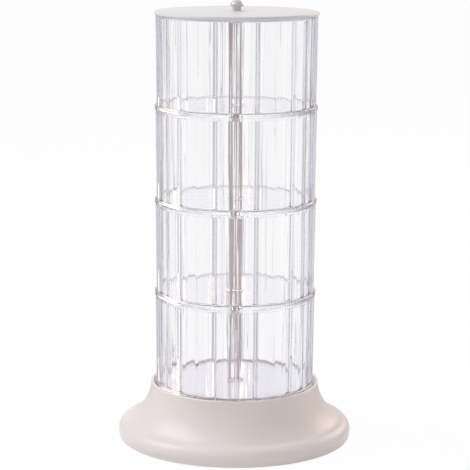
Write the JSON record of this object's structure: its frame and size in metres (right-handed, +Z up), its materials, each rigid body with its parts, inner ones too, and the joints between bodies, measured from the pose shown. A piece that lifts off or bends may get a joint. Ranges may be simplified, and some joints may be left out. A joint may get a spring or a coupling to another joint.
{
  "type": "tool storage caddy",
  "caption": "Upright turning caddy of clear ribbed cups stacked on a central rod, with a flat white lid, a small knob and a flared white base; holds small hobby tools.",
  "frame": {"origin": "on the tower axis, on the surface that the foot pads stand on", "axes": "+Z up along the rod, +X to the viewer's right, -Y towards the viewer"},
  "size_m": [0.191, 0.191, 0.3573],
  "materials": {
    "white_plastic": "smooth moulded white, slightly warm",
    "clear_plastic": "clear moulded styrene with a faint lavender edge",
    "acetal": "natural acetal",
    "bright_steel": "plain bright steel",
    "knob_metal": "satin cast metal",
    "rubber": "soft grey rubber"
  },
  "bodies": {
    "base": {"base_shell": "white_plastic", "bottom_cover": "white_plastic", "cover_screws": "bright_steel", "foot_pads": "rubber", "deck_bush": "acetal", "lower_race": "bright_steel"},
    "ball_ring": {"ball_cage": "acetal", "bearing_balls": "bright_steel"},
    "turntable": {"platter": "white_plastic", "upper_race": "bright_steel", "spindle_rod": "bright_steel", "rod_collar": "bright_steel", "retaining_washer": "bright_steel", "lock_nut": "bright_steel"},
    "bottom_tier_cup": {"bottom_tier": "clear_plastic"},
    "second_tier_cup": {"second_tier": "clear_plastic"},
    "third_tier_cup": {"third_tier": "clear_plastic"},
    "top_tier_cup": {"top_tier": "clear_plastic"},
    "lid_plate": {"lid": "white_plastic"},
    "knob_seat": {"knob_washer": "acetal"},
    "knob_nut": {"knob": "knob_metal"}
  },
  "joints": [
    {"name": "tower_spin", "type": "hinge", "parent": "base", "child": "turntable", "pos_m": [0, 0, 0], "axis": [0, 0, 1], "continuous": true},
    {"name": "ball_ring_roll", "type": "hinge", "parent": "base", "child": "ball_ring", "pos_m": [0, 0, 0], "axis": [0, 0, 1], "continuous": true},
    {"name": "bottom_tier_lift", "type": "slide", "parent": "turntable", "child": "bottom_tier_cup", "axis": [0, 0, 1], "range_m": [0, 0.318]},
    {"name": "second_tier_lift", "type": "slide", "parent": "bottom_tier_cup", "child": "second_tier_cup", "axis": [0, 0, 1], "range_m": [0, 0.242]},
    {"name": "third_tier_lift", "type": "slide", "parent": "second_tier_cup", "child": "third_tier_cup", "axis": [0, 0, 1], "range_m": [0, 0.166]},
    {"name": "top_tier_lift", "type": "slide", "parent": "third_tier_cup", "child": "top_tier_cup", "axis": [0, 0, 1], "range_m": [0, 0.091]},
    {"name": "lid_lift", "type": "slide", "parent": "top_tier_cup", "child": "lid_plate", "axis": [0, 0, 1], "range_m": [0, 0.0155]},
    {"name": "knob_rise", "type": "slide", "parent": "lid_plate", "child": "knob_seat", "axis": [0, 0, 1], "range_m": [0, 0.0056]},
    {"name": "knob_turn", "type": "hinge", "parent": "knob_seat", "child": "knob_nut", "pos_m": [0, 0, 0.352], "axis": [0, 0, 1], "range_deg": [0, 2524]}
  ],
  "couplings": [
    {"joint": "ball_ring_roll", "follows": "tower_spin", "ratio": 0.5},
    {"joint": "knob_turn", "follows": "knob_rise", "rad_per_m": 7854}
  ]
}
